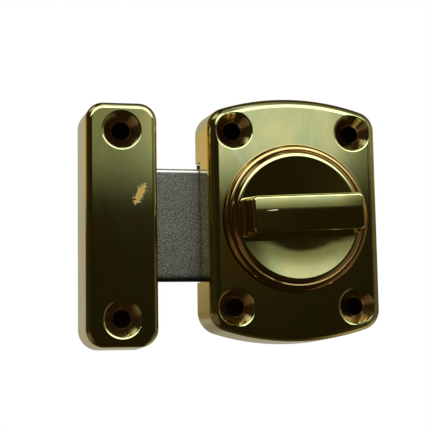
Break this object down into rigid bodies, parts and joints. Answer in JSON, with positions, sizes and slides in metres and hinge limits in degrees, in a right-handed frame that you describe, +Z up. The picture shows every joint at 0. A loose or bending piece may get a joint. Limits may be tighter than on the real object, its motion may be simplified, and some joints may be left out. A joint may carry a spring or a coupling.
{
  "type": "toggle bolt latch",
  "caption": "Surface-mounted thumb-turn door bolt: a case with a dished knob and bar grip that slides a flat bolt into a separate box keeper.",
  "frame": {"origin": "centre of the latch case's four screw holes, in the plane of its back", "axes": "+Z up, +Y into the door, the front faces -Y, the keeper is on the -X side"},
  "size_m": [0.0769, 0.0269, 0.0644],
  "materials": {
    "case_brass": "polished brass plating on die-cast zinc",
    "knob_brass": "polished brass plating on die-cast zinc",
    "keeper_brass": "polished brass plating on die-cast zinc",
    "bolt_steel": "matt, fine-grained zinc-grey steel",
    "pressed_steel": "zinc-plated pressed steel",
    "bright_steel": "bright zinc-plated steel",
    "spring_steel": "blued spring steel",
    "nylon": "natural nylon"
  },
  "bodies": {
    "case": {"latch_case": "case_brass", "back_plate": "pressed_steel", "plate_screws": "bright_steel", "detent_spring": "spring_steel"},
    "knob": {"turn_knob": "knob_brass", "knob_washer": "nylon", "detent_cam": "nylon", "crank_plate": "pressed_steel", "crank_pin": "bright_steel", "shaft_screw": "bright_steel"},
    "bolt": {"bolt": "bolt_steel"},
    "keeper": {"keeper_case": "keeper_brass"}
  },
  "joints": [
    {"name": "knob_turn", "type": "hinge", "parent": "case", "child": "knob", "pos_m": [0, -0.0142, 0], "axis": [0, 1, 0], "range_deg": [0, 90], "deforming": ["detent_spring"]},
    {"name": "bolt_slide", "type": "slide", "parent": "case", "child": "bolt", "axis": [1, 0, 0], "range_m": [0, 0.015]},
    {"name": "keeper_gap", "type": "slide", "parent": "case", "child": "keeper", "axis": [1, 0, 0], "range_m": [-0.002, 0.0105]}
  ],
  "couplings": [
    {"joint": "bolt_slide", "follows": "knob_turn", "m_per_rad": 0.009549}
  ]
}
